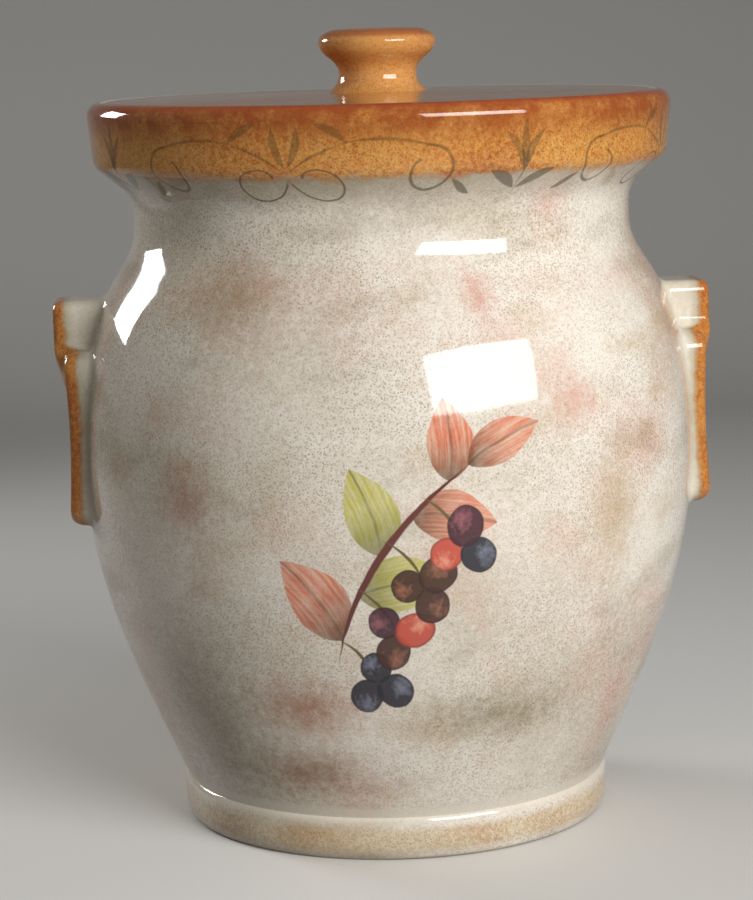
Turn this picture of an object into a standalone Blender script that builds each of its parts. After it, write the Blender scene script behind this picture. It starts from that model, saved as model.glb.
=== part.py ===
"""Glazed ceramic kitchen canister: a round-bellied jar with two luted-on lug handles, and a flat
lid let into the jar's collar, with its knob and its sealing ring.

The jar stands on z = 0 with its axis on Z. The handles stand out along +X and -X.
All sizes are in metres.
"""
import math

import bmesh
import bpy
from mathutils import Matrix, Vector
from mathutils.geometry import intersect_point_line

# Jar, outside: heights above the table and radii from the axis
JAR_HEIGHT = 0.2650
FOOT_HEIGHT = 0.0156
BELLY_HEIGHT = 0.1355
NECK_HEIGHT = 0.2198
FOOT_RADIUS = 0.0794
GROOVE_DEPTH = 0.0012
BELLY_RADIUS = 0.1126
NECK_RADIUS = 0.0905

# Foot ring: the flat band that the jar stands on, and the base lifted clear inside it
FOOT_OVERHANG = 0.0030
FOOT_FLAT_WIDTH = 0.0085
FOOT_RECESS = 0.0030
FOOT_BEAD_HEIGHT = 0.0076
BEAD_ROUNDNESS = 0.6

# How far the belly runs on upright before it turns in, and the neck before it turns out
SHOULDER_PULL = 0.0660
NECK_PULL = 0.0190

# Collar: the thick band round the mouth
COLLAR_RADIUS = 0.1065
COLLAR_TAPER = 0.0022
COLLAR_DEPTH = 0.0228
COLLAR_TOP_FILLET = 0.0050
COLLAR_LOWER_FILLET = 0.0060
FLARE_SLOPE = 0.820
FLARE_FILLET = 0.0120

# Clay thickness, and the ledge inside the mouth that the lid lies on
WALL = 0.0070
BASE_THICKNESS = 0.0085
FLOOR_FILLET = 0.0120
RIM_WIDTH = 0.0062
LEDGE_WIDTH = 0.0083
EDGE_ROUNDING = 0.0009

# Lid: a faintly domed disc that lies flush in the collar, with a locating flange below it
LID_THICKNESS = 0.0080
LID_DOME = 0.0013
LID_SIDE_CLEARANCE = 0.0008
FLANGE_CLEARANCE = 0.0035
FLANGE_WALL = 0.0060
FLANGE_DEPTH = 0.0112
FLANGE_ROUNDING = 0.0018

# Sealing ring: a soft ring in a groove round the flange, with lips that wipe the mouth
SEAL_GROOVE_HEIGHT = 0.0056
SEAL_GROOVE_DEPTH = 0.0016
SEAL_GROOVE_DROP = 0.0028
SEAL_BODY = 0.0024
SEAL_LIP_THICKNESS = 0.0012
SEAL_LIP_TIP = 0.0006
SEAL_LIP_RISE = 0.0006

# Knob on the lid
KNOB_HEIGHT = 0.0226
KNOB_RADIUS = 0.0214
KNOB_RADIUS_HEIGHT = 0.0178
KNOB_WAIST_RADIUS = 0.0142
KNOB_WAIST_HEIGHT = 0.0062
KNOB_FOOT_FLARE = 0.0040
KNOB_FOOT_EDGE = 0.0008
KNOB_CROWN_RADIUS = 0.0135
KNOB_CROWN_DROP = 0.0003

# Lug handles: a horseshoe strap round a finger recess, with a crown that stands out at its top
LUG_BELOW_NECK = 0.0232
LUG_LENGTH = 0.0833
LUG_HALF_WIDTH = 0.0240
LUG_ROOT_DEPTH = 0.0045
LUG_EDGE = 0.0030
STRAP_STAND = 0.0051
STRAP_DISH = 0.0013
STRAP_SHOULDER = 0.0078
STRAP_TOE = 0.0060
TOE_ROLL = 0.0065
TOE_SET_IN = 0.0034
RECESS_HALF_WIDTH = 0.0100
RECESS_BELOW_CROWN = 0.0205
RECESS_ROUNDNESS = 0.95
CROWN_HEIGHT = 0.0196
CROWN_HALF_WIDTH = 0.0122
CROWN_STAND = 0.0033
CROWN_SWEEP = 0.0210
CROWN_LIP = 0.0020
CROWN_CORNER = 0.0045
CROWN_FLANK = 0.0036
CROWN_DROOP = 0.0024
LUTING_GAP = 0.0004
LEFT_LEAN = math.radians(0.0)
RIGHT_LEAN = math.radians(1.1)

# Seating gap between pieces that rest on each other
SEAT_GAP = 0.0003

# Sizes that follow from those above
GROOVE_RADIUS = FOOT_RADIUS - GROOVE_DEPTH
MOUTH_RADIUS = COLLAR_RADIUS - RIM_WIDTH - LEDGE_WIDTH
FLANGE_RADIUS = MOUTH_RADIUS - FLANGE_CLEARANCE
LUG_TOP = NECK_HEIGHT - LUG_BELOW_NECK
LUG_BOTTOM = LUG_TOP - LUG_LENGTH
LUG_ROOT = NECK_RADIUS - LUG_ROOT_DEPTH
STRAP_TOP = LUG_TOP - CROWN_HEIGHT
STRAP_REACH = BELLY_RADIUS + STRAP_STAND
CROWN_REACH = STRAP_REACH + CROWN_STAND
SWEEP_TOP = STRAP_TOP + CROWN_LIP

# Facets
ROUND_STEPS = 52
KNOB_STEPS = 32
BEAD_STEPS = 4
LOWER_STEPS = 9
UPPER_STEPS = 10
INNER_LOWER_STEPS = 6
INNER_UPPER_STEPS = 7
KNOB_CURVE_STEPS = 5
DOME_STEPS = 4
RIM_RINGS = 3
TOE_CUTS = (0.3, 0.65, 1.0)
STRAP_CUTS = (0.25, 0.4, 0.55)
SWEEP_CUTS = (0.0, 0.25, 0.5, 0.75, 1.0)
FLANK_CUTS = (0.1, 0.6, 1.1)
FILLET_ANGLE = math.radians(30)
FILLET_ROOM = 0.98
SMOOTH_ANGLE = math.radians(40)
MERGE = 1e-6


def clear_scene():
    """Start from an empty scene."""
    for item in list(bpy.data.objects):
        bpy.data.objects.remove(item, do_unlink=True)


def glaze(name, colour, roughness):
    """A Principled material of one colour (linear RGB), for a glazed or moulded surface."""
    material = bpy.data.materials.new(name)
    material.use_nodes = True
    shader = material.node_tree.nodes["Principled BSDF"]
    shader.inputs["Base Color"].default_value = (*colour, 1.0)
    shader.inputs["Roughness"].default_value = roughness
    shader.inputs["Metallic"].default_value = 0.0
    material.diffuse_color = (*colour, 1.0)
    return material


# Outlines: lists of (radius, height)

def bezier(start, start_pull, end_pull, end, steps):
    """Points of a cubic curve after its start, up to and with its end."""
    points = []
    for step in range(1, steps + 1):
        t = step / steps
        weights = ((1 - t) ** 3, 3 * t * (1 - t) ** 2, 3 * t * t * (1 - t), t ** 3)
        corners = (start, start_pull, end_pull, end)
        points.append(tuple(sum(w * c[axis] for w, c in zip(weights, corners)) for axis in (0, 1)))
    return points


def filleted(corners):
    """Turn (x, y, fillet radius) corners into points, each fillet an arc that its edges have room for."""
    places = [Vector(corner[:2]) for corner in corners]
    count = len(corners)
    arms = []
    reaches = []
    for index, place in enumerate(places):
        before = (places[index - 1] - place).normalized()
        after = (places[(index + 1) % count] - place).normalized()
        half = before.angle(after) / 2
        arms.append((before, after, half))
        reaches.append(corners[index][2] / math.tan(half))
    for index in range(count):
        following = (index + 1) % count
        room = (places[following] - places[index]).length * FILLET_ROOM
        wanted = reaches[index] + reaches[following]
        if wanted > room:
            reaches[index] *= room / wanted
            reaches[following] *= room / wanted
    points = []
    for place, (before, after, half), reach in zip(places, arms, reaches):
        if reach <= MERGE:
            points.append(tuple(place))
            continue
        centre = place + (before + after).normalized() * (reach / math.cos(half))
        spoke = place + before * reach - centre
        turn = math.pi - 2 * half
        if before.cross(after) > 0:
            turn = -turn
        steps = max(2, round(abs(turn) / FILLET_ANGLE))
        for step in range(steps + 1):
            swung = spoke.copy()
            swung.rotate(Matrix.Rotation(turn * step / steps, 2))
            points.append(tuple(centre + swung))
    return points


def lower_body(inset, steps, start_height):
    """The body from its foot up to the belly, a quarter wave, set in by the clay's thickness."""
    points = []
    for step in range(steps + 1):
        height = start_height + (BELLY_HEIGHT - start_height) * step / steps
        swell = math.sin(math.pi / 2 * (height - FOOT_HEIGHT) / (BELLY_HEIGHT - FOOT_HEIGHT))
        points.append((GROOVE_RADIUS + (BELLY_RADIUS - GROOVE_RADIUS) * swell - inset, height))
    return points


def upper_body(inset, steps):
    """The shoulder from the belly up to the neck, upright at both ends."""
    belly = (BELLY_RADIUS - inset, BELLY_HEIGHT)
    neck = (NECK_RADIUS - inset, NECK_HEIGHT)
    shoulder = (belly[0], BELLY_HEIGHT + SHOULDER_PULL)
    return bezier(belly, shoulder, (neck[0], NECK_HEIGHT - NECK_PULL), neck, steps)


def flare_height(radius):
    """Height of the flare under the collar, on its outer face, at a radius."""
    lower_radius = COLLAR_RADIUS - COLLAR_TAPER
    return JAR_HEIGHT - COLLAR_DEPTH - (lower_radius - radius) * FLARE_SLOPE


def ledge_height():
    """Height of the ledge in the collar that the lid lies on."""
    return JAR_HEIGHT - LID_THICKNESS - SEAT_GAP


def jar_outline():
    """Half section of the jar, from the axis under the base, round the outside, to the axis inside."""
    flat_outer = FOOT_RADIUS - FOOT_OVERHANG
    flat_inner = flat_outer - FOOT_FLAT_WIDTH
    bead = (FOOT_RADIUS, FOOT_BEAD_HEIGHT)
    groove = (GROOVE_RADIUS, FOOT_HEIGHT)
    lower_pulls = ((FOOT_RADIUS - EDGE_ROUNDING, 0.0), (FOOT_RADIUS, FOOT_BEAD_HEIGHT * BEAD_ROUNDNESS))
    upper_pulls = ((FOOT_RADIUS, FOOT_HEIGHT - FOOT_BEAD_HEIGHT * BEAD_ROUNDNESS),
                   (FOOT_RADIUS, FOOT_HEIGHT - EDGE_ROUNDING))
    points = [(0.0, FOOT_RECESS), (flat_inner - FOOT_RECESS, FOOT_RECESS)]
    points += [(flat_inner, 0.0), (flat_outer, 0.0)]
    points += bezier(points[-1], *lower_pulls, bead, BEAD_STEPS)
    points += bezier(bead, *upper_pulls, groove, BEAD_STEPS)
    points += lower_body(0.0, LOWER_STEPS, FOOT_HEIGHT)[1:]
    points += upper_body(0.0, UPPER_STEPS)
    collar_foot = COLLAR_RADIUS - COLLAR_TAPER
    gallery = COLLAR_RADIUS - RIM_WIDTH
    inner_neck = NECK_RADIUS - WALL
    inner_lift = WALL * math.hypot(1.0, FLARE_SLOPE)
    mouth = [
        (NECK_RADIUS, NECK_HEIGHT, 0.0),
        (NECK_RADIUS, flare_height(NECK_RADIUS), FLARE_FILLET),
        (collar_foot, flare_height(collar_foot), COLLAR_LOWER_FILLET),
        (COLLAR_RADIUS, JAR_HEIGHT, COLLAR_TOP_FILLET),
        (gallery, JAR_HEIGHT, EDGE_ROUNDING),
        (gallery, ledge_height(), EDGE_ROUNDING),
        (MOUTH_RADIUS, ledge_height(), EDGE_ROUNDING),
        (MOUTH_RADIUS, flare_height(MOUTH_RADIUS) + inner_lift, COLLAR_LOWER_FILLET),
        (inner_neck, flare_height(inner_neck) + inner_lift, FLARE_FILLET),
        (inner_neck, NECK_HEIGHT, 0.0),
    ]
    points += filleted(mouth)[1:]
    points += reversed(upper_body(WALL, INNER_UPPER_STEPS)[:-1])
    inside = lower_body(WALL, INNER_LOWER_STEPS, BASE_THICKNESS + FLOOR_FILLET)
    points += reversed(inside[1:])
    floor_corner = lower_body(WALL, 1, BASE_THICKNESS)[0]
    points += filleted([(*inside[1], 0.0), (*floor_corner, FLOOR_FILLET), (0.0, BASE_THICKNESS, 0.0)])[1:]
    return points


def lid_outline():
    """Half section of the lid in its own frame: z = 0 is the level of the collar's top."""
    radius = COLLAR_RADIUS - RIM_WIDTH - LID_SIDE_CLEARANCE
    flange_foot = -LID_THICKNESS - FLANGE_DEPTH
    groove_top = -LID_THICKNESS - SEAL_GROOVE_DROP
    groove_bottom = groove_top - SEAL_GROOVE_HEIGHT
    groove_radius = FLANGE_RADIUS - SEAL_GROOVE_DEPTH
    inner = FLANGE_RADIUS - FLANGE_WALL
    corners = [
        (0.0, -LID_THICKNESS, 0.0),
        (inner, -LID_THICKNESS, 0.0),
        (inner, flange_foot, FLANGE_ROUNDING),
        (FLANGE_RADIUS, flange_foot, FLANGE_ROUNDING),
        (FLANGE_RADIUS, groove_bottom, 0.0),
        (groove_radius, groove_bottom, 0.0),
        (groove_radius, groove_top, 0.0),
        (FLANGE_RADIUS, groove_top, 0.0),
        (FLANGE_RADIUS, -LID_THICKNESS, 0.0),
        (radius, -LID_THICKNESS, EDGE_ROUNDING),
        (radius, 0.0, EDGE_ROUNDING),
        (radius - RIM_WIDTH, 0.0, 0.0),
    ]
    points = filleted(corners)
    dome_radius = radius - RIM_WIDTH
    for step in range(1, DOME_STEPS + 1):
        share = 1 - step / DOME_STEPS
        points.append((dome_radius * share, LID_DOME * (1 - share ** 2)))
    return points


def seal_outline():
    """Closed section of the sealing ring in the lid's frame, with two lips that point up and out."""
    inner = FLANGE_RADIUS - SEAL_GROOVE_DEPTH + SEAT_GAP
    body = inner + SEAL_BODY
    tip = MOUTH_RADIUS - SEAT_GAP
    top = -LID_THICKNESS - SEAL_GROOVE_DROP - SEAT_GAP
    bottom = top - SEAL_GROOVE_HEIGHT + 2 * SEAT_GAP
    lower_root = bottom + SEAL_LIP_THICKNESS
    upper_root = top - SEAL_LIP_THICKNESS
    return [
        (inner, bottom),
        (body, bottom),
        (tip, bottom + SEAL_LIP_RISE),
        (tip, bottom + SEAL_LIP_RISE + SEAL_LIP_TIP),
        (body, lower_root),
        (body, upper_root),
        (tip, upper_root + SEAL_LIP_RISE),
        (tip, upper_root + SEAL_LIP_RISE + SEAL_LIP_TIP),
        (body, top),
        (inner, top),
    ]


def knob_outline():
    """Half section of the knob in its own frame: z = 0 is its seat on the lid."""
    foot_radius = KNOB_WAIST_RADIUS + KNOB_FOOT_FLARE
    foot = (foot_radius, KNOB_FOOT_EDGE)
    waist = (KNOB_WAIST_RADIUS, KNOB_WAIST_HEIGHT)
    widest = (KNOB_RADIUS, KNOB_RADIUS_HEIGHT)
    crown = (KNOB_CROWN_RADIUS, KNOB_HEIGHT - KNOB_CROWN_DROP)
    swell = KNOB_RADIUS_HEIGHT - KNOB_WAIST_HEIGHT
    roll = KNOB_HEIGHT - KNOB_RADIUS_HEIGHT
    points = [(0.0, 0.0), (foot_radius - KNOB_FOOT_EDGE, 0.0), foot]
    points += bezier(foot, (KNOB_WAIST_RADIUS + KNOB_FOOT_FLARE / 3, 2 * KNOB_FOOT_EDGE),
                     (KNOB_WAIST_RADIUS, KNOB_WAIST_HEIGHT / 2), waist, KNOB_CURVE_STEPS)
    points += bezier(waist, (KNOB_WAIST_RADIUS, KNOB_WAIST_HEIGHT + swell / 2),
                     (KNOB_RADIUS, KNOB_RADIUS_HEIGHT - swell / 2), widest, KNOB_CURVE_STEPS)
    points += bezier(widest, (KNOB_RADIUS, KNOB_RADIUS_HEIGHT + roll / 2),
                     ((KNOB_RADIUS + KNOB_CROWN_RADIUS) / 2, crown[1]), crown, KNOB_CURVE_STEPS)
    points.append((0.0, KNOB_HEIGHT))
    return points


# Solids

def new_object(name, mesh_data, material, parent=None):
    """Put a bmesh into the scene as a named object."""
    mesh = bpy.data.meshes.new(name)
    mesh_data.to_mesh(mesh)
    mesh_data.free()
    mesh.materials.append(material)
    mesh.shade_smooth()
    mesh.set_sharp_from_angle(angle=SMOOTH_ANGLE)
    item = bpy.data.objects.new(name, mesh)
    bpy.context.scene.collection.objects.link(item)
    item.parent = parent
    return item


def turned(outline, steps):
    """Spin a half section round Z into a closed bmesh."""
    data = bmesh.new()
    verts = [data.verts.new((radius, 0.0, height)) for radius, height in outline]
    edges = [data.edges.new(pair) for pair in zip(verts, verts[1:])]
    if outline[0][0] > MERGE or outline[-1][0] > MERGE:
        edges.append(data.edges.new((verts[-1], verts[0])))
    bmesh.ops.spin(data, geom=verts + edges, cent=(0, 0, 0), axis=(0, 0, 1), angle=2 * math.pi,
                   steps=steps, use_merge=True, use_duplicate=False)
    bmesh.ops.remove_doubles(data, verts=data.verts, dist=MERGE)
    bmesh.ops.recalc_face_normals(data, faces=data.faces)
    return data


def lug_reach(side, height):
    """How far the lug's face stands out at a place: a dished strap, its rolled toe, and the crown."""
    middle = (STRAP_TOP + LUG_BOTTOM) / 2
    share = max(-1.0, min(1.0, (height - middle) / (STRAP_TOP - middle)))
    toe = max(0.0, min(1.0, (LUG_BOTTOM + TOE_ROLL - height) / TOE_ROLL))
    strap = STRAP_REACH - STRAP_DISH * math.cos(math.pi / 2 * share)
    strap -= TOE_SET_IN * (1 - math.sqrt(1 - toe ** 2))
    sweep = max(0.0, min(1.0, (SWEEP_TOP - height) / CROWN_SWEEP))
    flank = max(0.0, min(1.0, (abs(side) - CROWN_HALF_WIDTH) / CROWN_FLANK))
    swell = (math.cos(math.pi / 2 * sweep) * math.cos(math.pi / 2 * flank)) ** 2
    return strap + (CROWN_REACH - strap) * swell


def lug_outline():
    """The lug's outline in (y, z): two legs either side of the recess, shoulders, and the narrower crown."""
    recess = (RECESS_HALF_WIDTH, STRAP_TOP - RECESS_BELOW_CROWN, RECESS_HALF_WIDTH * RECESS_ROUNDNESS)
    half = [
        recess,
        (RECESS_HALF_WIDTH, LUG_BOTTOM, STRAP_TOE / 2),
        (LUG_HALF_WIDTH, LUG_BOTTOM, STRAP_TOE),
        (LUG_HALF_WIDTH, STRAP_TOP, STRAP_SHOULDER),
        (CROWN_HALF_WIDTH, STRAP_TOP, CROWN_FLANK),
        (CROWN_HALF_WIDTH, LUG_TOP, CROWN_CORNER),
    ]
    return filleted(half + [(-y, z, radius) for y, z, radius in reversed(half)])


def rim_drop(place, outline):
    """How far a point of the lug's face lies back, for being near the rounded rim."""
    nearest = LUG_EDGE
    for start, end in zip(outline, outline[1:] + outline[:1]):
        foot, share = intersect_point_line(place, start, end)
        if share < 0:
            foot = Vector(start)
        elif share > 1:
            foot = Vector(end)
        nearest = min(nearest, (place - foot.to_2d()).length)
    return LUG_EDGE * (1 - math.sqrt(1 - (1 - nearest / LUG_EDGE) ** 2))


def lug_cuts():
    """Planes, as (point, normal), that give the lug's face the points that its curves need."""
    levels = [LUG_BOTTOM + TOE_ROLL * share for share in TOE_CUTS]
    levels += [LUG_BOTTOM + (STRAP_TOP - LUG_BOTTOM) * share for share in STRAP_CUTS]
    levels += [SWEEP_TOP - CROWN_SWEEP * share for share in SWEEP_CUTS]
    cuts = [((0, 0, level), (0, 0, 1)) for level in levels]
    for share in FLANK_CUTS:
        flank = CROWN_HALF_WIDTH + CROWN_FLANK * share
        cuts += [((0, flank, 0), (0, 1, 0)), ((0, -flank, 0), (0, 1, 0))]
    return cuts


def lug_form(lean):
    """The lug as a closed form: its outline drawn out to its face, rim rounded, leaning in from its toe."""
    data = bmesh.new()
    outline = lug_outline()
    face = data.faces.new([data.verts.new((LUG_ROOT, y, z)) for y, z in outline])
    outer = bmesh.ops.extrude_face_region(data, geom=[face])["geom"]
    front = [item for item in outer if isinstance(item, bmesh.types.BMFace)]
    bmesh.ops.translate(data, verts=front[0].verts, vec=(STRAP_REACH - LUG_ROOT, 0, 0))
    bmesh.ops.recalc_face_normals(data, faces=data.faces)
    depth = 0.0
    for ring in range(1, RIM_RINGS + 1):
        wanted = LUG_EDGE * (1 - math.cos(math.pi / 2 * ring / RIM_RINGS))
        bmesh.ops.inset_region(data, faces=front, thickness=wanted - depth, use_boundary=True,
                               use_even_offset=True)
        depth = wanted
    for place, normal in lug_cuts():
        geometry = data.verts[:] + data.edges[:] + data.faces[:]
        bmesh.ops.bisect_plane(data, geom=geometry, dist=MERGE, plane_co=place, plane_no=normal)
    middle = (LUG_ROOT + STRAP_REACH) / 2
    for vert in data.verts:
        if vert.co.x > middle:
            vert.co.x = lug_reach(vert.co.y, vert.co.z) - rim_drop(vert.co.yz, outline)
        outward = (vert.co.x - LUG_ROOT) / (CROWN_REACH - LUG_ROOT)
        upward = max(0.0, min(1.0, (vert.co.z - SWEEP_TOP) / (LUG_TOP - SWEEP_TOP)))
        vert.co.z -= CROWN_DROOP * outward * upward
    bmesh.ops.rotate(data, verts=data.verts, cent=(STRAP_REACH, 0, LUG_BOTTOM),
                     matrix=Matrix.Rotation(-lean, 3, "Y"))
    bmesh.ops.recalc_face_normals(data, faces=data.faces)
    return data


def handle(name, turn, lean, material, guide):
    """One lug handle, cut to the jar's wall."""
    item = new_object(name, lug_form(lean), material)
    item.rotation_euler.z = turn
    fit = item.modifiers.new("Fit to wall", "BOOLEAN")
    fit.object = guide
    fit.operation = "DIFFERENCE"
    fit.solver = "EXACT"


def body_guide(material):
    """The jar's outside with the luting gap added, solid, to cut the handles' backs."""
    outline = [(0.0, FOOT_HEIGHT)]
    for radius, height in lower_body(0.0, LOWER_STEPS, FOOT_HEIGHT) + upper_body(0.0, UPPER_STEPS):
        outline.append((radius + LUTING_GAP, height))
    outline.append((0.0, NECK_HEIGHT))
    guide = new_object("body_guide", turned(outline, ROUND_STEPS), material)
    guide.hide_render = True
    guide.display_type = "WIRE"
    return guide


def build():
    """Make every piece of the canister."""
    clear_scene()
    cream = glaze("sponged_cream_glaze", (0.60, 0.53, 0.41), 0.12)
    amber = glaze("sponged_amber_glaze", (0.42, 0.15, 0.035), 0.10)
    clear_rubber = glaze("translucent_silicone", (0.62, 0.60, 0.55), 0.45)

    new_object("jar", turned(jar_outline(), ROUND_STEPS), cream)

    guide = body_guide(cream)
    handle("right_handle", 0.0, RIGHT_LEAN, cream, guide)
    handle("left_handle", math.pi, LEFT_LEAN, cream, guide)

    lid_axis = bpy.data.objects.new("lid_lift_axis", None)
    lid_axis.location = (0.0, 0.0, JAR_HEIGHT)
    bpy.context.scene.collection.objects.link(lid_axis)
    new_object("lid", turned(lid_outline(), ROUND_STEPS), amber, lid_axis)
    new_object("lid_seal_ring", turned(seal_outline(), ROUND_STEPS), clear_rubber, lid_axis)
    knob = new_object("lid_knob", turned(knob_outline(), KNOB_STEPS), amber, lid_axis)
    knob.location.z = LID_DOME + SEAT_GAP
    bpy.context.view_layer.update()


build()
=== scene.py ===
"""Looks of a glazed ceramic kitchen canister: a sponged cream jar with an amber collar and lid.

Lengths are in metres and +Z is up. The painted front faces -Y, and the handles lie along X.
"""
import math

import bmesh
import bpy
from mathutils import Matrix, Vector
from mathutils.geometry import intersect_point_line


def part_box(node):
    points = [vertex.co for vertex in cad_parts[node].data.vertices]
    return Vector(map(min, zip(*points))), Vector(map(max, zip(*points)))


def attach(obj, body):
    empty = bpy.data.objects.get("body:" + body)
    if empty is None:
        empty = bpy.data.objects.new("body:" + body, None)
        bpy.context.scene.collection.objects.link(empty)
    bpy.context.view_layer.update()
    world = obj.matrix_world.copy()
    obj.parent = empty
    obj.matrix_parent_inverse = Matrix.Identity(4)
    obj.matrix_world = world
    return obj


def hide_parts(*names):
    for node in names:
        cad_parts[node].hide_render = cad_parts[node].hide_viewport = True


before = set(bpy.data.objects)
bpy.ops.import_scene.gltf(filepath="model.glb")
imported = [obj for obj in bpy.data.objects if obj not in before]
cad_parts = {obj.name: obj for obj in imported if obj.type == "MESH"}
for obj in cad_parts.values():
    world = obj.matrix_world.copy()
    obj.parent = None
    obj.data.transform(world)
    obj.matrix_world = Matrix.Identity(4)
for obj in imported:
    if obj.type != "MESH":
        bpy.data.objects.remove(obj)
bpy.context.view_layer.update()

MM = 0.001
TURN = 2 * math.pi

# Jar, outside, read from the frame or repeated from the solids
JAR_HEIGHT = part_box("jar")[1].z
BELLY_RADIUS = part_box("jar")[1].x
FOOT_HEIGHT = 15.6 * MM
BELLY_HEIGHT = 135.5 * MM
NECK_HEIGHT = 219.8 * MM
FOOT_RADIUS = 79.4 * MM
GROOVE_RADIUS = 78.2 * MM
NECK_RADIUS = 90.5 * MM
FOOT_FLAT_OUTER = 76.4 * MM
FOOT_FLAT_INNER = 67.9 * MM
FOOT_RECESS = 3.0 * MM
FOOT_BEAD_HEIGHT = 7.6 * MM
BEAD_ROUNDNESS = 0.6
SHOULDER_PULL = 66.0 * MM
NECK_PULL = 19.0 * MM
COLLAR_RADIUS = 106.5 * MM
COLLAR_TAPER = 2.2 * MM
COLLAR_DEPTH = 22.8 * MM
COLLAR_TOP_FILLET = 5.0 * MM
COLLAR_LOWER_FILLET = 6.0 * MM
FLARE_SLOPE = 0.820
FLARE_FILLET = 12.0 * MM

# Jar, inside
WALL = 7.0 * MM
BASE_THICKNESS = 8.5 * MM
FLOOR_FILLET = 12.0 * MM
RIM_WIDTH = 6.2 * MM
MOUTH_RADIUS = 92.0 * MM
EDGE_ROUNDING = 0.9 * MM
SEAT_GAP = 0.3 * MM

# Lid, its flange and the sealing ring's groove
LID_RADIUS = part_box("lid")[1].x
LID_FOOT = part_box("lid")[0].z
LID_THICKNESS = 8.0 * MM
LID_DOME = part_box("lid")[1].z - JAR_HEIGHT
FLANGE_RADIUS = 88.5 * MM
FLANGE_WALL = 6.0 * MM
FLANGE_ROUNDING = 1.8 * MM
SEAL_GROOVE_DEPTH = 1.6 * MM
SEAL_ROUNDING = 0.3 * MM
SEAL_BODY = 2.4 * MM
SEAL_LIP_THICKNESS = 1.2 * MM
SEAL_LIP_RISE = 0.6 * MM

# Knob
KNOB_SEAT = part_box("lid_knob")[0].z
KNOB_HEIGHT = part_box("lid_knob")[1].z - KNOB_SEAT
KNOB_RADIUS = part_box("lid_knob")[1].x
KNOB_RADIUS_HEIGHT = 17.8 * MM
KNOB_WAIST_RADIUS = 14.2 * MM
KNOB_WAIST_HEIGHT = 6.2 * MM
KNOB_FOOT_FLARE = 4.0 * MM
KNOB_CROWN_RADIUS = 13.5 * MM
KNOB_CROWN_DROP = 0.3 * MM

# Lug handles
LUG_HALF_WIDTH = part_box("left_handle")[1].y
LUG_TOP = 196.6 * MM
LUG_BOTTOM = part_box("left_handle")[0].z
LUG_EDGE = 3.0 * MM
STRAP_TOP = 177.0 * MM
STRAP_REACH = 117.7 * MM
STRAP_DISH = 1.3 * MM
STRAP_SHOULDER = 6.9 * MM
SHOULDER_ROLL = 6.0 * MM
SHOULDER_SET_IN = 2.4 * MM
STRAP_TOE = 6.0 * MM
TOE_ROLL = 6.5 * MM
TOE_SET_IN = 3.4 * MM
RECESS_HALF_WIDTH = 10.0 * MM
RECESS_TOP = 156.5 * MM
RECESS_ROUNDNESS = 0.95
CROWN_HALF_WIDTH = 12.2 * MM
CROWN_REACH = -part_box("left_handle")[0].x
CROWN_SWEEP = 21.0 * MM
CROWN_LIP = 2.0 * MM
CROWN_CORNER = 4.5 * MM
CROWN_FLANK = 4.4 * MM
CROWN_DROOP = 2.4 * MM
RIGHT_LEAN = math.radians(1.1)
JOIN_FILLET = 2.2 * MM
JOIN_ROOM = 0.85
JOIN_BURIED = 1.5 * MM

# How finely the pieces are made
ROUND_STEPS = 192
KNOB_STEPS = 96
BEAD_STEPS = 10
BODY_STEPS = 48
SHOULDER_STEPS = 40
LINING_STEPS = 24
DOME_STEPS = 24
ARC_STEP = math.radians(10)
ARC_ROOM = 0.98
RIM_RINGS = 6
JOIN_RINGS = 4
FACE_CUT = 1.6 * MM
SHARP_EDGE = math.radians(40)
MERGE = 1e-6

# Decoration: the sponging, the sprig on the front, in arc and height, and the scroll round the collar
SPONGE_EDGE = 0.18
CLOUD_SPAN = 25 * MM
CLOUD_EDGE = 0.08
SPRIG_ROOT = Vector((-30.0, 75.0)) * MM
SPRIG_TIP = Vector((20.0, 147.0)) * MM
BOUGH_BEND = 0.10
BOUGH_WIDTH = 3.0 * MM
LEAVES = 5
LEAF_LENGTH = 35.0 * MM
LEAF_SPLAY = math.radians(54)
BUNCHES = 4
BUNCH_DROP = Vector((13.0, -15.0)) * MM
STALK_WIDTH = 1.6 * MM
FRUIT_RADIUS = 6.0 * MM
SCROLL_BUDS = 4
SCROLL_BUD = math.radians(22.9)
SCROLL_DROP = 2.6 * MM
SCROLL_LINE = 0.62 * MM
INK = "#4b3d22"
INK_ON_CREAM = 0.72
INK_ON_AMBER = 0.46
AMBER_EDGE = JAR_HEIGHT - COLLAR_DEPTH

# The camera, measured from the photograph: distance from the jar's axis, height and angles
CAMERA_DISTANCE = 0.9992
CAMERA_HEIGHT = 0.2938
CAMERA_SIDE = -0.00404
CAMERA_PITCH = math.radians(9.095)
CAMERA_ROLL = math.radians(1.546)
JAR_YAW = math.radians(4.5)
CAMERA_LENS = 108.8
CAMERA_FILM = 36.0

# Studio: the paper sweep, and the lamps that stand round the jar
SWEEP_HALF = 3.0
SWEEP_BACK = 1.7
SWEEP_BEND = 0.7
SWEEP_TOP = 2.6
SWEEP_STEPS = 24
PAPER_FADE = 0.45
LAMP_DISTANCE = 1.15
LAMP_AIM = 0.16
LAMP_GRID = math.radians(100)


# Outlines: lists of (radius, height)

def bezier(start, start_pull, end_pull, end, steps):
    """Points of a cubic curve after its start, up to and with its end."""
    points = []
    for step in range(1, steps + 1):
        t = step / steps
        weights = ((1 - t) ** 3, 3 * t * (1 - t) ** 2, 3 * t * t * (1 - t), t ** 3)
        corners = (start, start_pull, end_pull, end)
        points.append(tuple(sum(w * c[axis] for w, c in zip(weights, corners)) for axis in (0, 1)))
    return points


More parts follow.
